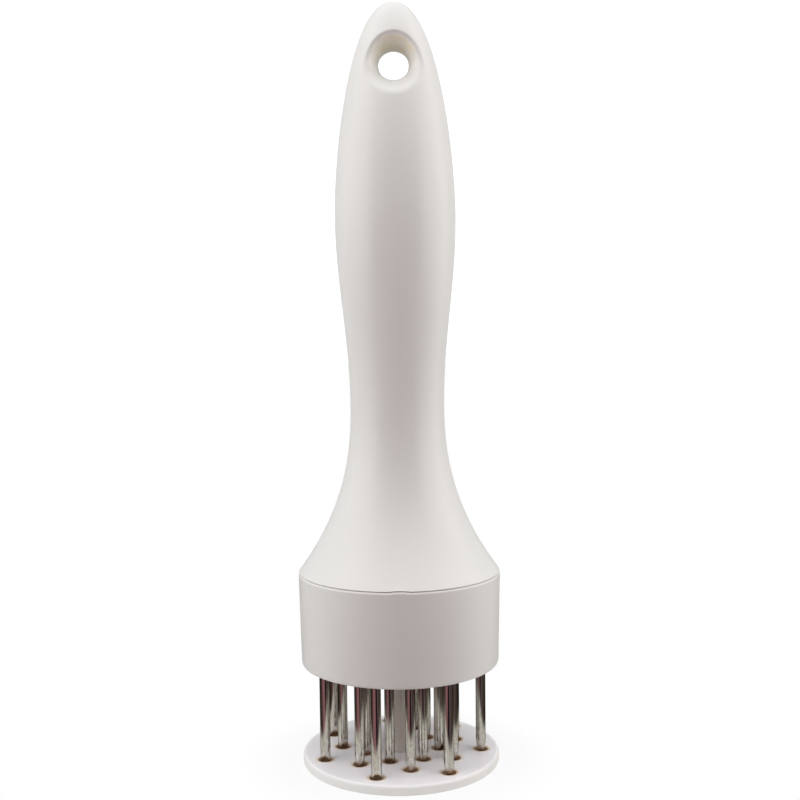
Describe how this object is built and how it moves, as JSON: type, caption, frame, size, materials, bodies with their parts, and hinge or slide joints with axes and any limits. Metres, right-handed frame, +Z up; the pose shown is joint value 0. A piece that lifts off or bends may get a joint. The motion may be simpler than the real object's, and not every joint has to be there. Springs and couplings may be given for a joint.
{
  "type": "blade meat tenderizer",
  "caption": "Hand meat tenderizer: turned plastic handle with a belled foot and collar, chisel-tipped steel pins and a sprung round guard disc that slides up to bare them.",
  "frame": {"origin": "middle of the guard disc's underside, on which the tool stands", "axes": "+Z up along the tool's axis to the handle's tip, -Y towards the front mouth of the hanging hole"},
  "size_m": [0.0509, 0.0509, 0.19],
  "materials": {
    "white_plastic": "satin moulded white ABS",
    "disc_plastic": "satin moulded white plastic",
    "stem_plastic": "satin moulded natural acetal",
    "plate_plastic": "satin moulded white plastic",
    "pin_steel": "polished stainless steel",
    "spring_steel": "drawn stainless wire",
    "fastener_steel": "plain stainless steel"
  },
  "bodies": {
    "grip": {"handle": "white_plastic", "collar": "white_plastic", "needle_plate": "plate_plastic", "clamp_plate": "plate_plastic", "return_spring": "spring_steel", "needle_inner_1": "pin_steel", "needle_inner_2": "pin_steel", "needle_inner_3": "pin_steel", "needle_inner_4": "pin_steel", "needle_inner_5": "pin_steel", "needle_inner_6": "pin_steel", "needle_inner_7": "pin_steel", "needle_middle_1": "pin_steel", "needle_middle_2": "pin_steel", "needle_middle_3": "pin_steel", "needle_middle_4": "pin_steel", "needle_middle_5": "pin_steel", "needle_middle_6": "pin_steel", "needle_middle_7": "pin_steel", "needle_outer_1": "pin_steel", "needle_outer_2": "pin_steel", "needle_outer_3": "pin_steel", "needle_outer_4": "pin_steel", "needle_outer_5": "pin_steel", "needle_outer_6": "pin_steel", "needle_outer_7": "pin_steel"},
    "guard": {"guard_disc": "disc_plastic", "guard_stem": "stem_plastic", "stop_washer": "fastener_steel", "stem_screw": "fastener_steel"}
  },
  "joints": [
    {"name": "guard_slide", "type": "slide", "parent": "grip", "child": "guard", "axis": [0, 0, 1], "range_m": [0, 0.022], "stiffness_N_per_m": 500, "springref_m": -0.01, "deforming": ["return_spring"]}
  ]
}
